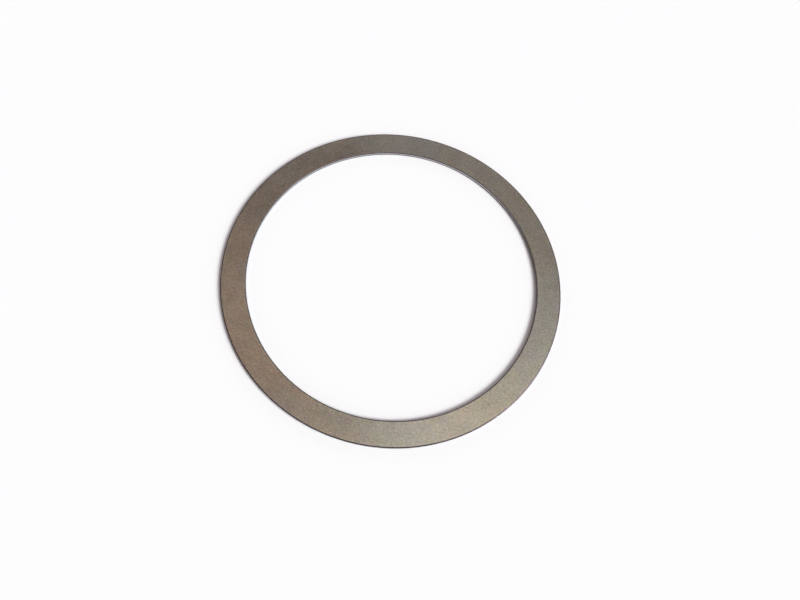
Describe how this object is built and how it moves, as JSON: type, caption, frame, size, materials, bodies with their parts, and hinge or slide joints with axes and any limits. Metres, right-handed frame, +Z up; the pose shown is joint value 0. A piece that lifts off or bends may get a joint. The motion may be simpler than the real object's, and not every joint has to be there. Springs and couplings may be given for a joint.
{
  "type": "shim ring",
  "caption": "Thin flat blanked steel ring that fills end play or sets preload beside a bearing, gear or snap ring, on a shaft or in a housing bore.",
  "frame": {"origin": "centre of the ring on its underside, the face it rests on", "axes": "+Z up along the ring's axis, from the underside to the face with the rolled-over edges; X and Y in the underside's plane"},
  "size_m": [0.09, 0.09, 0.001],
  "materials": {
    "shim_steel": "tumbled matt, bare, warm grey"
  },
  "bodies": {
    "root": {"shim_ring": "shim_steel"}
  },
  "joints": []
}
